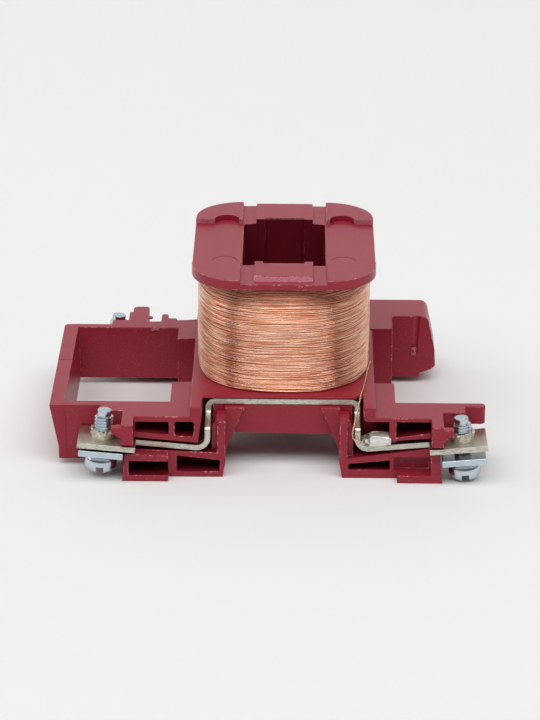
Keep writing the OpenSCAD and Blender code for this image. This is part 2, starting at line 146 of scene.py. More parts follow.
class Finish:
    """A material whose nodes are written as expressions."""

    def __init__(self, name, **fixed):
        self.material = bpy.data.materials.new(name)
        self.material.use_nodes = True
        self.tree = self.material.node_tree
        self.shader = self.tree.nodes["Principled BSDF"]
        for socket, value in fixed.items():
            self.shader.inputs[socket.replace("_", " ")].default_value = value
        self.place = self.node("ShaderNodeTexCoord", output="Object")

    def feed(self, socket, value):
        if isinstance(value, Socket):
            self.tree.links.new(value.output, socket)
        else:
            socket.default_value = value

    def node(self, kind, settings=None, inputs=None, output=0):
        made = self.tree.nodes.new(kind)
        for name, value in (settings or {}).items():
            setattr(made, name, value)
        for name, value in (inputs or {}).items():
            self.feed(made.inputs[name], value)
        return Socket(self, made.outputs[output])

    def noise(self, size, detail=2.0, stretch=(1.0, 1.0, 1.0)):
        """Noise whose grains measure about size metres, longer where stretch is larger."""
        turned = self.node(
            "ShaderNodeMapping", None, {"Vector": self.place, "Scale": [1 / s for s in stretch]}
        )
        return self.node(
            "ShaderNodeTexNoise", None, {"Vector": turned, "Scale": 1 / size, "Detail": detail}
        )

    def attribute(self, name):
        return self.node("ShaderNodeAttribute", {"attribute_name": name}, output="Fac")

    def mix(self, share, first, second):
        made = self.tree.nodes.new("ShaderNodeMix")
        made.data_type = "RGBA"
        for index, value in ((0, share), (6, first), (7, second)):
            self.feed(made.inputs[index], value)
        return Socket(self, made.outputs[2])

    def bump(self, height, depth, strength=1.0):
        """A normal from a height of 0 to 1, where 1 stands depth metres proud."""
        return self.node(
            "ShaderNodeBump", None, {"Height": height, "Distance": depth, "Strength": strength}
        )

    def shade(self, **links):
        for socket, value in links.items():
            self.feed(self.shader.inputs[socket.replace("_", " ")], value)
        return self.material


def colour(red, green, blue):
    """A colour written as it looks on screen, 0 to 255, as the linear values Blender needs."""
    def linear(v):
        v /= 255
        return v / 12.92 if v <= 0.04045 else ((v + 0.055) / 1.055) ** 2.4
    return (linear(red), linear(green), linear(blue), 1.0)


# %% [markdown]
# Bmesh steps
# Shapes are made in a bmesh, Blender's mesh for editing, and become an object's mesh at the
# end. Three steps come up for nearly every shape: a bevel, picking one kind of element out
# of what an operator returns, and turning the bmesh into a mesh. As functions they always
# have the same settings.

# %% Bevel, pick and convert


def bevel(bm, edges, width, segments, clamp=False):
    """Rounds edges off, or chamfers them with one segment, and returns the new faces."""
    return bmesh.ops.bevel(
        bm, geom=edges, offset=width, offset_type="OFFSET", affect="EDGES", segments=segments,
        profile=0.5, material=-1, clamp_overlap=clamp,
    )["faces"]


def only(kind, elements):
    """The vertices, edges or faces of a mixed list."""
    return [e for e in elements if isinstance(e, kind)]


def to_mesh(bm, name):
    """Turns a bmesh into a mesh and frees it."""
    mesh = bpy.data.meshes.new(name)
    bm.to_mesh(mesh)
    bm.free()
    return mesh


# %% [markdown]
# Sweep and light
# The coil lies on a seamless sweep: a pale floor that curves up into a wall behind it. The
# wall matters for the looks, because upper faces seen from a low angle mirror it. The key
# light is a wide softbox high above the camera. A small one in front lights the winding's
# face, two more stand at the sides, the left one brighter, and a dim one lights the floor
# behind. The gaps between them are what the dark bands on the winding show.

# %% Sweep, lamps and sky
SWEEP_COLOUR = colour(241, 241, 241)
SWEEP_SIZE, SWEEP_GAP = 4.0, 0.02 * MM
WALL_AT, WALL_HEIGHT, WALL_CURVE = 1.5, 1.5, 0.7
SOFTBOXES = {
    "key": ((0.0, -0.98, 2.19), (4.2, 1.65), 2.75, VIEW_TARGET),
    "front": ((0.0, -1.3, 1.4), (0.9, 0.6), 1.6, VIEW_TARGET),
    "left": ((-1.5, 0.2, 0.75), (1.2, 0.8), 1.5, VIEW_TARGET),
    "right": ((1.5, 0.2, 0.75), (1.2, 0.8), 0.4, VIEW_TARGET),
    "backdrop": ((0.0, 0.8, 0.8), (2.4, 0.4), 0.5, Vector((0.0, 0.6, 0.0))),
}
SKY_STRENGTH = 0.12


def make_sweep():
    bm = bmesh.new()
    bmesh.ops.create_grid(bm, x_segments=1, y_segments=1, size=SWEEP_SIZE)
    bmesh.ops.translate(bm, verts=bm.verts, vec=(0, WALL_AT - SWEEP_SIZE, -SWEEP_GAP))
    crease = max(bm.edges, key=lambda e: sum(v.co.y for v in e.verts))
    raised = bmesh.ops.extrude_edge_only(bm, edges=[crease])
    lifted = only(bmesh.types.BMVert, raised["geom"])
    bmesh.ops.translate(bm, verts=lifted, vec=(0, 0, WALL_HEIGHT))
    bevel(bm, [crease], WALL_CURVE, segments=24, clamp=True)
    for face in bm.faces:
        face.smooth = True
    mesh = to_mesh(bm, "sweep")
    finish = Finish("pale_sweep", Roughness=0.9, Specular_IOR_Level=0.1)
    mesh.materials.append(finish.shade(Base_Color=SWEEP_COLOUR))
    sweep = bpy.data.objects.new("sweep", mesh)
    scene.collection.objects.link(sweep)


def make_softbox(name, place, size, radiance, target):
    """A rectangle of even light that faces the target."""
    data = bpy.data.lights.new(name, "AREA")
    data.shape, data.size, data.size_y = "RECTANGLE", size[0], size[1]
    data.energy = radiance * math.pi * size[0] * size[1]
    lamp = bpy.data.objects.new(name, data)
    lamp.location = place
    lamp.rotation_mode = "QUATERNION"
    lamp.rotation_quaternion = (target - Vector(place)).to_track_quat("-Z", "Y")
    scene.collection.objects.link(lamp)


def make_sky():
    world = bpy.data.worlds.new("sky")
    world.use_nodes = True
    sky = world.node_tree.nodes["Background"]
    sky.inputs["Color"].default_value = (1.0, 1.0, 1.0, 1.0)
    sky.inputs["Strength"].default_value = SKY_STRENGTH
    scene.world = world


make_sweep()
for name, settings in SOFTBOXES.items():
    make_softbox(name, *settings)
make_sky()

# %% [markdown]
# The dark red moulding
# Thermoset mouldings have a satin skin with a fine grain, a scatter of pale filler specks
# and lighter, rough lines where flash was trimmed from the edges. The skin's colour varies
# slowly. Three face attributes say where it differs: edge marks the narrow faces that round
# the edges off, broken marks chips and burrs, which look frosty, and recess_shade says how
# deep a face lies in a pocket, where shade is painted into the skin as a darker colour.

# %% Moulding finish
def moulding_finish():
    finish = Finish("moulded_red", Specular_IOR_Level=0.33)
    slow = finish.noise(9 * MM, 3)
    grain = finish.noise(0.22 * MM, 3)
    specks = finish.noise(0.16 * MM, 0).ramp(0.74, 0.80)
    ragged = finish.noise(0.5 * MM, 3).ramp(0.5, 0.62) * finish.noise(4 * MM, 2).ramp(0.42, 0.56)
    trimmed = finish.attribute("edge") * ragged
    broken = finish.attribute("broken")
    frost = broken * finish.noise(0.11 * MM, 2).ramp(0.45, 0.62)
    skin = finish.mix(slow, colour(143, 26, 45), colour(155, 33, 54))
    skin = finish.mix(grain.ramp(0.3, 0.75) * 0.3, skin, colour(164, 52, 68))
    skin = finish.mix(specks * 0.35, skin, colour(206, 142, 148))
    skin = finish.mix(trimmed * 0.75, skin, colour(224, 158, 164))
    # Painted shade: faces deep in pockets and inside the core passage are darkened towards dark red.
    skin = finish.mix(finish.attribute("recess_shade").ramp(0.6, 0.95) * 0.75, skin, colour(76, 10, 18))
    skin = finish.mix(broken * 0.15 + frost * 0.5, skin, colour(226, 168, 178))
    rough = 0.22 + grain * 0.2 + trimmed * 0.2 + broken * 0.3
    normal = finish.bump(grain + frost * 2.0, 0.012 * MM, 0.6)
    return finish.shade(Base_Color=skin, Roughness=rough, Normal=normal)


moulded_red = moulding_finish()
print("finish", moulded_red.name)

# %% [markdown]
# Copper wire, tinned strip, zinc and solder
# On metals the colour sits in the reflection. The wire's enamel warms and smooths it, and
# the attribute deep_shade paints shade into it: it darkens the layers below and the turns
# sheltered by the flange. The tinned strip is dull with long rolling marks. The zinc is
# bluish and slightly cloudy.
# Solder is only partly metallic here, because its skin is dull: it freezes smooth, with a
# faint crinkle and a few creases, whose grooves are painted darker as shade, and flux browns
# it beside the lead.

# %% Metal finishes
def copper_finish():
    finish = Finish("enamelled_copper", Metallic=1.0)
    patch = finish.noise(2.4 * MM, 2)
    streak = finish.noise(0.3 * MM, 2, stretch=(24.0, 24.0, 1.0)).ramp(0.3, 0.7)
    skin = finish.mix(streak, colour(232, 154, 116), colour(255, 219, 194))
    skin = finish.mix(patch * 0.4, skin, colour(236, 170, 138))
    # Painted shade on the layers below and on the turns under the upper flange.
    skin = finish.mix(finish.attribute("deep_shade") * 0.8, skin, colour(150, 74, 48))
    return finish.shade(Base_Color=skin, Roughness=0.3 - streak * 0.12)


def tin_finish():
    finish = Finish("tinned_strip", Metallic=1.0)
    cloud = finish.noise(1.8 * MM, 3)
    smear = finish.noise(0.5 * MM, 2, stretch=(5.0, 1.0, 0.5)).ramp(0.35, 0.7)
    scratch = finish.noise(0.12 * MM, 2, stretch=(14.0, 1.0, 1.0))
    burr = finish.attribute("sheared") * finish.noise(0.22 * MM, 3, stretch=(3.0, 1.0, 1.0))
    skin = finish.mix(cloud, colour(206, 201, 184), colour(238, 236, 226))
    skin = finish.mix(smear * 0.35, skin, colour(176, 168, 150))
    skin = finish.mix(scratch.ramp(0.6, 0.8) * 0.35, skin, colour(136, 128, 112))
    skin = finish.mix(burr.ramp(0.5, 0.66) * 0.4, skin, colour(118, 110, 96))
    rough = 0.26 + cloud * 0.14 + scratch * 0.1 + burr * 0.2
    normal = finish.bump(scratch * 0.2 + burr, 0.04 * MM)
    return finish.shade(Base_Color=skin, Roughness=rough, Normal=normal)


def zinc_finish():
    finish = Finish("bright_zinc", Metallic=1.0)
    cloud = finish.noise(1.6 * MM, 2)
    skin = finish.mix(cloud, colour(184, 197, 208), colour(212, 221, 228))
    return finish.shade(Base_Color=skin, Roughness=0.2 + cloud * 0.06)


def solder_finish():
    finish = Finish("soft_solder", Metallic=0.4)
    crinkle = finish.noise(0.9 * MM, 2)
    crease = finish.noise(0.45 * MM, 2, stretch=(2.5, 1.0, 1.0)).ramp(0.6, 0.72)
    flux = finish.attribute("flux") * finish.noise(0.6 * MM, 2).ramp(0.35, 0.55)
    skin = finish.mix(crinkle, colour(226, 225, 221), colour(248, 247, 244))
    # Painted shade: the crease grooves are darkened.
    skin = finish.mix(crease * 0.5, skin, colour(120, 112, 100))
    skin = finish.mix(flux * 0.8, skin, colour(96, 62, 40))
    normal = finish.bump(crinkle - crease * 0.6, 0.05 * MM)
    return finish.shade(Base_Color=skin, Roughness=0.2 + crinkle * 0.1 + flux * 0.2, Normal=normal)


enamelled_copper, tinned = copper_finish(), tin_finish()
bright_zinc, soft_solder = zinc_finish(), solder_finish()
print("finishes", [m.name for m in bpy.data.materials])

# %% [markdown]
# Rounding edges
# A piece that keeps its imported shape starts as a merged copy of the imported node, with the
# triangles of each flat face dissolved into one face. Rounding its sharp edges is what
# makes it look moulded or stamped: real edges always catch a line of light. One width would
# cut through the smallest steps of a moulding, and Blender's clamp would shrink every edge
# to fit the tightest place. So only edges with room are rounded. The trial is searched for
# faces that cross each other or fold over, and the edges beside those stay sharp next time.

# %% Merged copies and rounding
MERGE_WITHIN, FLAT_WITHIN = 0.002 * MM, math.radians(0.6)
STRAIGHT_ON = -0.8
ROOM, TOO_WIDE, CLOSE_BY = 2.1, 2.0, 3.0
AREA_SLACK = 0.01


def merged_copy(node):
    bm = bmesh.new()
    bm.from_mesh(frame["nodes"][node].data)
    bmesh.ops.remove_doubles(bm, verts=bm.verts, dist=MERGE_WITHIN)
    bmesh.ops.dissolve_limit(bm, angle_limit=FLAT_WITHIN, verts=bm.verts, edges=bm.edges)
    return bm


def has_room(edge, need):
    """True if no short edge turns off at either end of an edge."""
    for corner in edge.verts:
        ahead = (edge.other_vert(corner).co - corner.co).normalized()
        for other in corner.link_edges:
            turn = (other.other_vert(corner).co - corner.co).normalized().dot(ahead)
            if other is not edge and other.calc_length() < need and turn > STRAIGHT_ON:
                return False
    return True


def gap_to(edge, spot):
    ends = [v.co for v in edge.verts]
    share = geometry.intersect_point_line(spot, *ends)[1]
    return (ends[0].lerp(ends[1], min(max(share, 0.0), 1.0)) - spot).length


def crossings(bm):
    """Places where faces that share no corner cut each other."""
    split = bm.copy()
    bmesh.ops.triangulate(split, faces=split.faces)
    split.faces.ensure_lookup_table()
    tree = BVHTree.FromBMesh(split)
    places = []
    for first, second in tree.overlap(tree):
        pair = split.faces[first], split.faces[second]
        if first < second and not set(pair[0].verts) & set(pair[1].verts):
            places.append(min(pair, key=lambda f: f.calc_area()).calc_center_median())
    split.free()
    return places


def folds(bm):
    """Places where the outline of a face crosses itself."""
    places = []
    for face in bm.faces:
        ring = [v.co for v in face.verts]
        parts = geometry.tessellate_polygon([ring]) if len(ring) > 4 else []
        covered = sum(geometry.area_tri(*[ring[i] for i in part]) for part in parts)
        if not parts or abs(covered / face.calc_area() - 1) < AREA_SLACK:
            continue
        across = face.calc_tangent_edge()
        beside = face.normal.cross(across)
        flat = [Vector((v.dot(across), v.dot(beside))) for v in ring]
        sides = list(zip(flat, flat[1:] + flat[:1], ring, ring[1:] + ring[:1]))
        for first, second in itertools.combinations(sides, 2):
            hit = geometry.intersect_line_line_2d(*first[:2], *second[:2])
            if hit and first[1] != second[0] and second[1] != first[0]:
                share = (hit - first[0]).length / (first[1] - first[0]).length
                places.append(first[2].lerp(first[3], share))
    return places


def soften(bm, width, segments=2, sharper_than=32.0):
    """Returns a copy with the sharp edges rounded, as far as they have room for it.

    The narrow new faces are marked in the attribute edge. Where new faces would cut through
    others, the edges close by are left sharp and the rounding starts again.
    """
    bm.faces.layers.float.new("edge")
    bm.edges.index_update()
    limit = math.radians(sharper_than)
    sharp = [e for e in bm.edges if e.is_manifold and e.calc_face_angle() > limit]
    chosen = [e for e in sharp if has_room(e, ROOM * width)]
    while True:
        trial = bm.copy()
        trial.edges.ensure_lookup_table()
        made = bevel(trial, [trial.edges[e.index] for e in chosen], width, segments)
        wide = [f for f in made if min(e.calc_length() for e in f.edges) > TOO_WIDE * width]
        bad = crossings(trial) + folds(trial) + [f.calc_center_median() for f in wide]
        kept = [e for e in chosen if all(gap_to(e, spot) > CLOSE_BY * width for spot in bad)]
        if len(kept) == len(chosen):
            break
        chosen = kept
        trial.free()
    mark = trial.faces.layers.float["edge"]
    for face in made:
        face[mark] = 1.0
    print("rounded", len(chosen), "of", len(sharp), "sharp edges,", len(bad), "crossings left")
    bm.free()
    return trial


# %% [markdown]
# Solids
# Most details start as a rod, a slab or a lump, which is joined to a piece or carved out of
# it. An exact Boolean modifier does the carving, because it copes with faces that touch.

# %% Rods, slabs and lumps
SAME_HEIGHT = 0.0001 * MM


def mesh_of(piece):
    """The mesh that an object shows, with its curve section or modifiers turned into faces."""
    bpy.context.view_layer.update()
    return bpy.data.meshes.new_from_object(piece.evaluated_get(bpy.context.evaluated_depsgraph_get()))


def cylinder(radius, low, high, segments=48):
    bm = bmesh.new()
    bmesh.ops.create_cone(
        bm, cap_ends=True, radius1=radius, radius2=radius, depth=high - low, segments=segments
    )
    bmesh.ops.translate(bm, verts=bm.verts, vec=(0, 0, (low + high) / 2))
    return bm


def rod(start, end, radius):
    """A cylinder between two points."""
    along = end - start
    bm = cylinder(radius, 0.0, along.length)
    turned = Matrix.LocRotScale(start, along.to_track_quat("Z", "Y"), None)
    bmesh.ops.transform(bm, matrix=turned, verts=bm.verts)
    return bm


def round_rim(bm, height, width, segments):
    rim = [e for e in bm.edges if all(abs(v.co.z - height) < SAME_HEIGHT for v in e.verts)]
    bevel(bm, rim, width, segments, clamp=True)


def slab(size, middle):
    bm = bmesh.new()
    bmesh.ops.create_cube(bm, size=1.0)
    bmesh.ops.scale(bm, verts=bm.verts, vec=size)
    bmesh.ops.translate(bm, verts=bm.verts, vec=middle)
    return bm


def lump(low, high, seed, rough, power):
    """A sphere stretched to a box, squarer for a lower power and made uneven with noise."""
    bm = bmesh.new()
    bmesh.ops.create_icosphere(bm, subdivisions=5, radius=1.0)
    middle, half = (low + high) / 2, (high - low) / 2
    for vert in bm.verts:
        push = 1 + rough * noise.noise(vert.co * 1.7 + Vector((seed, 0, 0)))
        push += 0.35 * rough * noise.noise(vert.co * 4.3 + Vector((0, seed, 0)))
        spot = [math.copysign(abs(v) ** power, v) * push for v in vert.co]
        vert.co = middle + Vector([v * h for v, h in zip(spot, half)])
    return bm


def join(bm, other):
    mesh = to_mesh(other, "joined")
    bm.from_mesh(mesh)
    bpy.data.meshes.remove(mesh)


def carve(bm, cutter):
    """Cuts one bmesh out of another with an exact Boolean."""
    solids = [bpy.data.objects.new("solid", to_mesh(part, "solid")) for part in (bm, cutter)]
    for solid in solids:
        scene.collection.objects.link(solid)
    cut = solids[0].modifiers.new("cut", "BOOLEAN")
    cut.operation, cut.solver, cut.object = "DIFFERENCE", "EXACT", solids[1]
    made = bmesh.new()
    made.from_mesh(mesh_of(solids[0]))
    for solid in solids:
        bpy.data.objects.remove(solid)
    return made


def trim(bm, point, outward):
    """Cuts off what lies beyond a plane and closes the cut."""
    cut = bmesh.ops.bisect_plane(
        bm, geom=bm.verts[:] + bm.edges[:] + bm.faces[:], plane_co=point, plane_no=outward,
        clear_outer=True,
    )
    bmesh.ops.edgeloop_fill(bm, edges=only(bmesh.types.BMEdge, cut["geom_cut"]))


# %% [markdown]
# Pieces
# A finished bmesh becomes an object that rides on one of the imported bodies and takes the
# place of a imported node. Edges sharper than a limit are shaded as creases, all others as
# smooth, and weighted normals keep the broad faces flat. A face attribute can tell the
# finish where a surface differs.

# %% Marks and objects
CRISP, ROUND = math.radians(42), math.radians(80)


def mark_faces(bm, name, chosen):
    """Sets a face attribute to 1 where chosen(centre, normal) holds."""
    layer = bm.faces.layers.float.new(name)
    for face in bm.faces:
        if chosen(face.calc_center_median(), face.normal):
            face[layer] = 1.0


def add_piece(name, bm, material, body, slot, *nodes, crisp=CRISP):
    """Makes an object of a bmesh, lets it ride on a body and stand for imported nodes."""
    for face in bm.faces:
        face.smooth = True
    for edge in bm.edges:
        edge.smooth = not edge.is_manifold or edge.calc_face_angle() < crisp
    mesh = to_mesh(bm, name)
    mesh.materials.append(material)
    piece = bpy.data.objects.new(name, mesh)
    scene.collection.objects.link(piece)
    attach(piece, body)
    if nodes:
        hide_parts(*nodes)
    print(name, len(mesh.polygons), "faces")
    return piece


def flat_shading(piece):
    """Keeps broad faces flat beside rounded edges."""
    piece.modifiers.new("even_normals", "WEIGHTED_NORMAL").keep_sharp = True


# %% [markdown]
# Corners of the moulding
# Bobbin and base are one moulding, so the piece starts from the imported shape. Most of its
# edges share one small radius. Two corners are rounder, and the rear edge of the core
# passage has a chamfer, so these are cut first, while the edges are still easy to find by
# where they lie.

# %% Corners and rim
BLOCK_CORNER, BLOCK_ROUND = ((15.1, 0.0, 11.3), (15.1, 10.0, 11.3)), 0.7 * MM
RING_CORNER, RING_ROUND = ((-43.6, 18.9, 12.1), (-42.0, 18.9, 3.833)), 0.9 * MM
RIM_X, RIM_Y, RIM_BELOW = 4.0 * MM, (11.5 * MM, 13.5 * MM), 0.1 * MM
RIM_CHAMFER, RIM_ANGLE = 0.3 * MM, 1.0
ON_LINE = 0.02 * MM


def round_line(bm, line, width):
    """Rounds the edges that lie on the line through two points."""
    start, end = (Vector(point) * MM for point in line)

    def on_line(vert):
        return (geometry.intersect_point_line(vert.co, start, end)[0] - vert.co).length < ON_LINE

    edges = [e for e in bm.edges if all(on_line(v) for v in e.verts)]
    bevel(bm, edges, width, segments=6)


def chamfer_rim(bm, flange):
    """Breaks the upper rear edges of the core passage."""
    def on_rim(vert):
        beside = abs(vert.co.x) < RIM_X and RIM_Y[0] < vert.co.y < RIM_Y[1]
        return beside and vert.co.z > flange - RIM_BELOW

    def level(edge):
        run = edge.verts[0].co - edge.verts[1].co
        return abs(run.y) < ON_LINE and abs(run.z) < ON_LINE

    edges = [
        e for e in bm.edges
        if all(on_rim(v) for v in e.verts) and level(e) and e.is_convex
        and e.calc_face_angle() > RIM_ANGLE
    ]
    bevel(bm, edges, RIM_CHAMFER, segments=1)


# %% [markdown]
# Marks of the mould
# A mould leaves its traces. The ejector pins press shallow round recesses into the upper
# flange, each with a fine ring around it. A groove crosses the ring on the left where two
# parts of the mould met, and the gate, where the resin flowed in, leaves a hollow scar on
# the right block. All of them are carved. Small lumps are the burrs that trimming left.

# %% Pins, groove, gate and burrs
PIN_RADIUS = 2.35 * MM
RING_INNER, RING_DEPTH = 2.23 * MM, Vector((0, 0, 0.1 * MM))
PINS = ((-11.15, 12.2, 0.12), (11.15, 12.2, 0.12), (-11.15, -9.3, 0.03), (11.15, -9.3, 0.03))
PIN_LENGTH = 1.7 * MM
PARTING_SIZE, PARTING_AT = Vector((5.0, 0.18, 0.5)) * MM, Vector((-41.9, -0.4, 12.1)) * MM
GATE_LOW, GATE_HIGH = Vector((25.95, 18.5, 6.3)) * MM, Vector((26.55, 18.5, 15.0)) * MM
GATE_RADIUS = 0.9 * MM
BURR_ROUGH, BURR_POWER = 0.3, 0.7
BURRS = (
    ((25.4, 18.8, 6.0), (26.5, 19.22, 7.7)),
    ((2.7, -22.7, 35.3), (3.5, -22.2, 35.8)),
    ((-27.2, 23.2, 11.5), (-26.3, 24.1, 12.0)),
    ((-26.4, 16.9, 11.4), (-24.6, 17.5, 12.05)),
)


def carve_marks(bm, flange):
    for x, y, depth in PINS:
        foot = Vector((x, y, 0)) * MM + Vector((0, 0, flange - depth * MM))
        head = foot + Vector((0, 0, PIN_LENGTH))
        bm = carve(bm, rod(foot, head, PIN_RADIUS))
        ring = rod(foot - RING_DEPTH, foot + RING_DEPTH, PIN_RADIUS)
        bm = carve(bm, carve(ring, rod(foot - 2 * RING_DEPTH, head, RING_INNER)))
    bm = carve(bm, slab(PARTING_SIZE, PARTING_AT))
    return carve(bm, rod(GATE_LOW, GATE_HIGH, GATE_RADIUS))


def add_burrs(bm):
    for seed, (low, high) in enumerate(BURRS):
        join(bm, lump(Vector(low) * MM, Vector(high) * MM, seed, BURR_ROUGH, BURR_POWER))


# %% [markdown]
# Where the skin differs and where shade is painted
# The finish of the moulding reads two more attributes. For recess_shade, rays go out from
# each face to all sides, and the share that soon hits the moulding again is stored; the finish
# paints shade with it, darker where more is blocked. The inside of the core passage counts as
# fully recessed and gets the darkest painted shade. The attribute broken is set on the burrs,
# on the passage's chamfer and on the front steps of the pads.

# %% Recess shade and broken faces
RECESS_REACH, RECESS_RAYS = 17 * MM, 48
RAY_TURN, RAY_START = 2.4, 0.05 * MM
PASSAGE_X, PASSAGE_Y = 8.0 * MM, 13.2 * MM
STEP_GAP = 0.05 * MM


def mark_recess_shade(bm):
    """Sets the attribute recess_shade, the painted shade of pockets, to the share of its outlook that
    the piece itself blocks.
    """
    layer = bm.faces.layers.float.new("recess_shade")
    tree = BVHTree.FromBMesh(bm)
    rays = []
    for index in range(RECESS_RAYS):
        spread = (index + 0.5) / RECESS_RAYS
        turn = RAY_TURN * index
        side = math.sqrt(spread)
        rays.append(Vector((math.cos(turn) * side, math.sin(turn) * side, math.sqrt(1 - spread))))
    for face in bm.faces:
        spot = face.calc_center_median() + face.normal * RAY_START
        turned = face.normal.to_track_quat("Z", "Y")
        hits = [tree.ray_cast(spot, turned @ ray, RECESS_REACH)[0] for ray in rays]
        # The inside of the core passage always gets the full painted shade.
        passage = abs(spot.x) < PASSAGE_X and abs(spot.y) < PASSAGE_Y and abs(face.normal.z) < 0.5
        face[layer] = 1.0 if passage else sum(hit is not None for hit in hits) / RECESS_RAYS


def inside(spot, box):
    return all(low * MM <= v <= high * MM for low, v, high in zip(box[0], spot, box[1]))


def mark_broken(bm, flange, top):
    def broken(spot, normal):
        burr = any(inside(spot, box) for box in BURRS)
        on_rim = abs(spot.x) < PASSAGE_X and RIM_Y[0] < spot.y < RIM_Y[1]
        chamfer = on_rim and spot.z > flange - RIM_CHAMFER and normal.y < -0.3 and normal.z > 0.3
        from_pin = min(math.dist(spot.xy, (x * MM, y * MM)) for x, y, depth in PINS)
        front = normal.y < -0.5 and from_pin > PIN_RADIUS + STEP_GAP
        step = front and flange + STEP_GAP < spot.z < top - STEP_GAP
        return burr or chamfer or step

    mark_faces(bm, "broken", broken)


# %% [markdown]
# The whole moulding
# The order of the steps matters. The large corners come before the small radius, so that
# their ends are rounded too. The marks are carved after it, so that their rims stay sharp.
# The attributes come last, because carving makes new faces.

# %% Moulding
MOULD_EDGE = 0.16 * MM
PAD_HEIGHT = 0.85 * MM


def make_moulding():
    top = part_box("bobbin_frame")[1].z
    flange = top - PAD_HEIGHT
    bm = merged_copy("bobbin_frame")
    round_line(bm, BLOCK_CORNER, BLOCK_ROUND)
    round_line(bm, RING_CORNER, RING_ROUND)
    chamfer_rim(bm, flange)
    bm = soften(bm, MOULD_EDGE)
    bm = carve_marks(bm, flange)
    add_burrs(bm)
    mark_broken(bm, flange, top)
    mark_recess_shade(bm)
    flat_shading(add_piece("bobbin", bm, moulded_red, "base", "bobbin_plastic", "bobbin_frame"))


make_moulding()

# %% [markdown]
# The winding
# Some thousand turns of thin wire lie under the outermost layer, but only that layer can be
# seen. It is a real helix here: one curve with a round section, whose turns wander a little
# up and down and in and out, because a machine winds them loosely. A closed ring behind it
# stands for the layers below. The plan of both is a superellipse, a shape between an oval
# and a rectangle, which is what wire takes around a rectangular tube. The ring, and the
# turns close under the upper flange, are marked as deep_shade, because little light reaches
# them: their colour is darkened as painted shade.

# %% Winding
TURNS = 84
POINTS_PER_TURN = 120
WIRE_RADIUS = 0.12 * MM
WIRE_DIP = 0.12 * MM
SWAY, CROSS, JITTER = 0.7, 0.8, 0.2
PLAN_POWER = 2.7
RING_INSET, RING_SEGMENTS = 0.24 * MM, 160
TUBE_HALF, TUBE_POWER = (9.02 * MM, 14.22 * MM), 40.0
SHELTER_HEIGHT = 4.0 * MM
SAME_POINT = 0.001 * MM


def superellipse(angle, half_x, half_y, power):
    def part(v):
        return math.copysign(abs(v) ** (2 / power), v)
    return half_x * part(math.cos(angle)), half_y * part(math.sin(angle))


def wire_mesh(points, radius, sides=6):
    curve = bpy.data.curves.new("wire", "CURVE")
    curve.dimensions = "3D"
    curve.bevel_depth = radius
    curve.bevel_resolution = (sides - 4) // 2
    curve.use_fill_caps = True
    spline = curve.splines.new("POLY")
    spline.points.add(len(points) - 1)
    for point, place in zip(spline.points, points):
        point.co = (*place, 1.0)
    wire = bpy.data.objects.new("wire", curve)
    scene.collection.objects.link(wire)
    mesh = mesh_of(wire)
    bpy.data.objects.remove(wire)
    return mesh


def winding_points(low, high):
    half = (high - low) / 2
    middle = (high + low) / 2
    rise = (high.z - low.z - 2 * WIRE_RADIUS) / TURNS
    for step in range(TURNS * POINTS_PER_TURN + 1):
        turns = step / POINTS_PER_TURN
        angle = 2 * math.pi * turns
        around = Vector((math.cos(angle), math.sin(angle), 0.0))
        sway = noise.noise(around * 2.3 + Vector((0, 0, turns * 0.36)))
        cross = noise.noise(around * 1.6 + Vector((5, 0, turns * 1.9)))
        jitter = noise.noise(around * 5.1 + Vector((9, 0, turns * 1.7)))
        dip = 0.5 + 0.5 * noise.noise(around * 6.5 + Vector((0, 7, turns * 2.3)))
        inset = WIRE_RADIUS + WIRE_DIP * dip
        x, y = superellipse(angle, half.x - inset, half.y - inset, PLAN_POWER)
        fade = min(1.0, turns, TURNS - turns)
        wander = fade * (SWAY * sway + CROSS * cross + JITTER * jitter)
        z = low.z + WIRE_RADIUS + rise * (turns + wander)
        z = min(max(z, low.z + WIRE_RADIUS), high.z - WIRE_RADIUS)
        yield Vector((middle.x + x, middle.y + y, z))


def winding_ring(low, high):
    """The layers below the outermost one: a ring around the tube."""
    bm = bmesh.new()
    half = (high - low) / 2
    sizes = ((half.x - RING_INSET, half.y - RING_INSET, PLAN_POWER), (*TUBE_HALF, TUBE_POWER))
    for half_x, half_y, power in sizes:
        made = bmesh.ops.create_circle(bm, radius=1.0, segments=RING_SEGMENTS)
        for vert in made["verts"]:
            angle = math.atan2(vert.co.y, vert.co.x)
            vert.co.x, vert.co.y = superellipse(angle, half_x, half_y, power)
            vert.co.z = low.z
    ring = bmesh.ops.bridge_loops(bm, edges=bm.edges[:])
    raised = bmesh.ops.extrude_face_region(bm, geom=ring["faces"])
    lifted = only(bmesh.types.BMVert, raised["geom"])
    bmesh.ops.translate(bm, verts=lifted, vec=(0, 0, high.z - low.z))
    bmesh.ops.recalc_face_normals(bm, faces=bm.faces)
    # The whole ring gets full painted shade.
    mark_faces(bm, "deep_shade", lambda spot, normal: True)
    return bm


def make_winding():
    low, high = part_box("winding")
    bm = winding_ring(low, high)
    bm.from_mesh(wire_mesh(list(winding_points(low, high)), WIRE_RADIUS))
    bmesh.ops.remove_doubles(bm, verts=bm.verts, dist=SAME_POINT)
    # Painted shade: turns within SHELTER_HEIGHT of the upper flange are darkened, most at the top.
    deep_shade = bm.faces.layers.float["deep_shade"]
    for face in bm.faces:
        below = high.z - face.calc_center_median().z
        face[deep_shade] = max(face[deep_shade], math.sqrt(max(1.0 - below / SHELTER_HEIGHT, 0.0)))
    add_piece("coil_winding", bm, enamelled_copper, "base", "copper_wire", "winding", crisp=ROUND)


make_winding()

# %% [markdown]
# The leads
# Both ends of the winding leave it at the lower flange. The front one drops through a notch
# in the flange's lip, runs down beside the strip and is twisted double before it reaches
# the solder. Its route is a short list of points, smoothed by a Catmull-Rom curve.

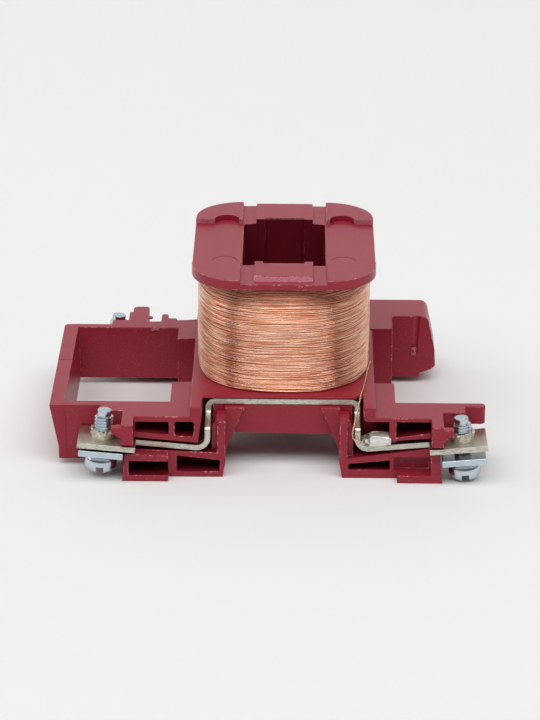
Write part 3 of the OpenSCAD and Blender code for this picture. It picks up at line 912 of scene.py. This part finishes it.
# %% Leads
STRAND_RADIUS = 0.085 * MM
TWIST_PITCH = 1.9 * MM
FRONT_ROUTE = [
    (16.66, -5.5, 14.22), (15.98, -10.3, 14.22), (15.3, -17.3, 14.22), (14.5, -22.9, 14.22),
    (14.45, -23.45, 13.85), (13.75, -26.25, 11.75), (13.2, -28.6, 9.99), (12.98, -29.3, 9.3),
    (13.05, -29.3, 8.5), (13.35, -29.2, 7.85), (14.6, -29.0, 7.3),
]
REAR_ROUTE = [
    (-16.72, 5.5, 14.22), (-15.6, 15.2, 14.22), (-14.6, 22.9, 14.22), (-14.3, 24.6, 12.4),
    (-13.9, 24.9, 10.9),
]


def smooth_route(points, per_span=14):
    """Points along a Catmull-Rom curve through the given millimetre points."""
    line = [Vector(p) * MM for p in points]
    line = [2 * line[0] - line[1]] + line + [2 * line[-1] - line[-2]]
    for a, b, c, d in zip(line, line[1:], line[2:], line[3:]):
        for step in range(per_span):
            t = step / per_span
            yield 0.5 * (2 * b + (c - a) * t + (2 * a - 5 * b + 4 * c - d) * t ** 2
                         + (3 * b - a - 3 * c + d) * t ** 3)
    yield line[-2]


def strand_points(route, phase):
    """One of two strands that turn around the route."""
    travelled = 0.0
    for before, here, after in zip([route[0]] + route, route, route[1:] + [route[-1]]):
        travelled += (here - before).length
        ahead = (after - before).normalized()
        side = ahead.cross(Vector((1, 0, 0))).normalized()
        turn = 2 * math.pi * travelled / TWIST_PITCH + phase
        yield here + STRAND_RADIUS * (math.cos(turn) * side + math.sin(turn) * ahead.cross(side))


def make_lead(node, points):
    route = list(smooth_route(points))
    bm = bmesh.new()
    for phase in (0.0, math.pi):
        bm.from_mesh(wire_mesh(list(strand_points(route, phase)), STRAND_RADIUS))
    bmesh.ops.remove_doubles(bm, verts=bm.verts, dist=SAME_POINT)
    add_piece(node + "_strands", bm, enamelled_copper, "base", "copper_wire", node, crisp=ROUND)


make_lead("front_lead", FRONT_ROUTE)
make_lead("rear_lead", REAR_ROUTE)

# %% [markdown]
# Terminals
# Each terminal has its own frame: the origin lies where the screw's axis meets the plate's
# upper face, and Z runs along the screw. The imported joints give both, so the pieces below
# are built upright around the Z axis and then set in place with one matrix.

# %% Terminal frames
TERMINALS = ("front_left", "front_right", "rear_left")
JOINTS = {joint["name"]: joint for joint in frame["joints"]}
ACROSS = Vector((0.0, 1.0, 0.0))


def terminal_frame(tag):
    hinge = JOINTS[tag + "_screw_turn"]
    axis = Vector(hinge["axis"]).normalized()
    turned = Matrix((ACROSS.cross(axis), ACROSS, axis)).transposed().to_4x4()
    return Matrix.Translation(hinge["pos_m"]) @ turned


def local_span(node, place):
    """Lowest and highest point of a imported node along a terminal's axis."""
    back = place.inverted()
    heights = [(back @ v.co).z for v in frame["nodes"][node].data.vertices]
    return min(heights), max(heights)


for tag in TERMINALS:
    print(tag, "terminal at", [round(v / MM, 1) for v in terminal_frame(tag).translation], "mm")

# %% [markdown]
# Tinned strips
# The strips are stamped from tinned sheet. Their flat sides are smooth, their sheared edges
# are rough, and the collar around each screw is a pierced and drawn hole with a torn rim.
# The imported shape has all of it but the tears. So its edges are rounded, and then the
# collars are subdivided and their rims pushed up, down and outwards with noise.

# %% Strips
STRIP_EDGE = 0.09 * MM
COLLAR_RADIUS, COLLAR_BORE = 2.3 * MM, 1.95 * MM
COLLAR_FOOT, COLLAR_HEIGHT = 0.05 * MM, 1.6 * MM
TEAR_COARSE, TEAR_FINE, TEAR_RISE = 0.55 * MM, 0.21 * MM, 0.3 * MM


def tear_collar(bm, place):
    back = place.inverted()

    def on_collar(vert):
        spot = back @ vert.co
        return math.hypot(spot.x, spot.y) < COLLAR_RADIUS and spot.z > COLLAR_FOOT

    walls = [e for e in bm.edges if any(on_collar(v) for v in e.verts)]
    bmesh.ops.subdivide_edges(bm, edges=walls, cuts=2, use_grid_fill=True)
    for vert in filter(on_collar, bm.verts):
        spot = back @ vert.co
        lift = spot.z / COLLAR_HEIGHT
        torn = noise.noise(spot / TEAR_COARSE) + 0.6 * noise.noise(spot / TEAR_FINE)
        out = Vector((spot.x, spot.y, 0)).normalized()
        flare = (0.2 + 0.3 * torn) * min(lift * 2.5, 1.0) if out.dot(spot) > COLLAR_BORE else 0.0
        spot += out * (flare * MM) + Vector((0, 0, TEAR_RISE * torn * lift))
        vert.co = place @ spot


def make_strip(node, *tags):
    bm = soften(merged_copy(node), STRIP_EDGE, sharper_than=40.0)
    mark_faces(bm, "sheared", lambda spot, normal: abs(normal.y) > 0.7)
    for tag in tags:
        tear_collar(bm, terminal_frame(tag))
    flat_shading(add_piece(node + "_stamped", bm, tinned, "base", "tinned_strip", node))


make_strip("front_link_strip", "front_left", "front_right")
make_strip("rear_terminal_strip", "rear_left")

# %% [markdown]
# Terminal screws
# The screws go in from below, so their pan heads hang under the clamp plates and their dog
# points stand up through the collars. A spin that climbs by one pitch a turn makes the
# thread. Its section is one pitch high, so each turn meets the next. Two cutting planes
# trim the helix, and the cut loops are filled, which leaves a closed solid. The head is a
# cylinder with round rims, and a Boolean cuts the slot and the cross into it.

# %% Screws
PITCH = 0.6 * MM
THREAD_ROOT, THREAD_CREST = 1.40 * MM, 1.75 * MM
THREAD_SECTION = (
    (THREAD_ROOT, 0.0), (THREAD_CREST, 0.36), (THREAD_CREST, 0.50), (THREAD_ROOT, 0.86),
    (THREAD_ROOT, 1.0),
)
THREAD_TAPER, THREAD_SINK = 2.0, 0.05 * MM
STEPS_PER_TURN = 32
HEAD_RADIUS, HEAD_HEIGHT = 3.0 * MM, 3.4 * MM
HEAD_ROUND, HEAD_EDGE = 1.3 * MM, 0.07 * MM
DOG_RADIUS, DOG_LENGTH = 1.3 * MM, 1.05 * MM
DOG_ROUND, DOG_SINK = 0.14 * MM, 0.3 * MM
SLOT_WIDTH, SLOT_DEPTH = 1.35 * MM, 1.45 * MM
CROSS_WIDTH, CROSS_REACH, CROSS_DEPTH = 0.95 * MM, 1.75 * MM, 1.7 * MM


def pan_head(low):
    bm = cylinder(HEAD_RADIUS, low, low + HEAD_HEIGHT, segments=64)
    round_rim(bm, low + HEAD_HEIGHT, HEAD_ROUND, segments=6)
    round_rim(bm, low, HEAD_ROUND, segments=8)
    reach = 4 * HEAD_RADIUS
    bm = carve(bm, slab((SLOT_WIDTH, reach, 2 * SLOT_DEPTH), (0, 0, low)))
    bm = carve(bm, slab((CROSS_WIDTH, 2 * CROSS_REACH, 2 * CROSS_DEPTH), (0, 0, low)))
    bm = carve(bm, slab((2 * CROSS_REACH, CROSS_WIDTH, 2 * CROSS_DEPTH), (0, 0, low)))
    return soften(bm, HEAD_EDGE, sharper_than=50.0)


def thread(low, high):
    bm = bmesh.new()
    corners = [bm.verts.new((radius, 0, low + (share - 1) * PITCH)) for radius, share in THREAD_SECTION]
    lines = [bm.edges.new(pair) for pair in zip(corners, corners[1:])]
    turns = math.ceil((high - low) / PITCH) + 2
    bmesh.ops.spin(
        bm, geom=corners + lines, cent=(0, 0, 0), axis=(0, 0, 1), dvec=(0, 0, PITCH / STEPS_PER_TURN),
        angle=2 * math.pi * turns, steps=STEPS_PER_TURN * turns, use_merge=False,
    )
    bmesh.ops.remove_doubles(bm, verts=bm.verts, dist=MERGE_WITHIN)
    for height, side in ((low, -1.0), (high, 1.0)):
        trim(bm, (0, 0, height), (0, 0, side))
    for vert in bm.verts:
        allowed = THREAD_ROOT + max(high - vert.co.z, 0.0) * THREAD_TAPER
        radius = math.hypot(vert.co.x, vert.co.y)
        if radius > allowed:
            vert.co.x *= allowed / radius
            vert.co.y *= allowed / radius
    bmesh.ops.recalc_face_normals(bm, faces=bm.faces)
    return bm


def make_screw(tag):
    node = tag + "_screw"
    place = terminal_frame(tag)
    low, high = local_span(node, place)
    bm = pan_head(low)
    shoulder = high - DOG_LENGTH
    join(bm, thread(low + HEAD_HEIGHT - THREAD_SINK, shoulder))
    dog = cylinder(DOG_RADIUS, shoulder - DOG_SINK, high)
    round_rim(dog, high, DOG_ROUND, segments=3)
    join(bm, dog)
    bmesh.ops.transform(bm, matrix=place, verts=bm.verts)
    flat_shading(add_piece(node + "_cut", bm, bright_zinc, node + "_body", "zinc_steel", node))


for tag in TERMINALS:
    make_screw(tag)

# %% [markdown]
# Clamp plates
# Each plate is a square stamping with a low boss below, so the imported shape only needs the
# wide soft edges that stamping and plating leave.

# %% Clamps
CLAMP_EDGE = 0.2 * MM


def make_clamp(tag):
    node = tag + "_clamp"
    bm = soften(merged_copy(node), CLAMP_EDGE, segments=3, sharper_than=40.0)
    flat_shading(add_piece(node + "_stamped", bm, bright_zinc, node + "_body", "zinc_steel", node))


for tag in TERMINALS:
    make_clamp(tag)

# %% [markdown]
# Solder
# Solder wets the strip and freezes as a lump with a soft skin. The front one filled the
# corner of the strip and set with a flat top: a sphere whose coordinates are raised to a
# power below one is a box with round corners, and noise makes it uneven. It falls off
# towards the lead, and it is cut off by the plane of the strip's upper face, which is the
# plane of the terminal beside it. Its front leans back down to the strip, and at its outer
# end it only laps past the block's post. Flux stays on the end at the lead.

# %% Solder joints
POST_X, POST_Y = 19.7 * MM, -28.87 * MM
FLUX_REACH = 2.0 * MM
FRONT_SEED, FRONT_ROUGH, FRONT_POWER = 3.0, 0.07, 0.3
REAR_SEED, REAR_ROUGH, REAR_POWER = 8.0, 0.16, 1.0
SUNK_SHARE = 0.6
LEAD_END, LEAD_FALL, LEAD_SPAN = 0.1, 0.2, 0.3
UNDERCUT, UNDERCUT_HEIGHT = 0.7 * MM, 0.4 * MM


def make_front_solder():
    low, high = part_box("front_solder")
    place = terminal_frame("front_right")
    up = place.col[2].to_3d()
    foot = low.z - SUNK_SHARE * (high.z - low.z)
    bm = lump(Vector((low.x, low.y, foot)), high, FRONT_SEED, FRONT_ROUGH, FRONT_POWER)
    for vert in bm.verts:
        along = (vert.co.x - low.x) / (high.x - low.x)
        rise = 1.0 - LEAD_FALL + LEAD_FALL * min(max((along - LEAD_END) / LEAD_SPAN, 0.0), 1.0)
        vert.co.z = foot + (vert.co.z - foot) * rise
        above = (vert.co - place.translation).dot(up)
        vert.co.y += UNDERCUT * max(1.0 - max(above, 0.0) / UNDERCUT_HEIGHT, 0.0)
        if vert.co.x > POST_X:
            vert.co.y = min(vert.co.y, POST_Y)
    trim(bm, place.translation, -up)
    mark_faces(bm, "flux", lambda spot, normal: spot.x < low.x + FLUX_REACH)
    add_piece("front_solder_joint", bm, soft_solder, "base", "solder", "front_solder")


def make_rear_solder():
    bm = lump(*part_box("rear_solder"), REAR_SEED, REAR_ROUGH, REAR_POWER)
    add_piece("rear_solder_joint", bm, soft_solder, "base", "solder", "rear_solder")


make_front_solder()
make_rear_solder()
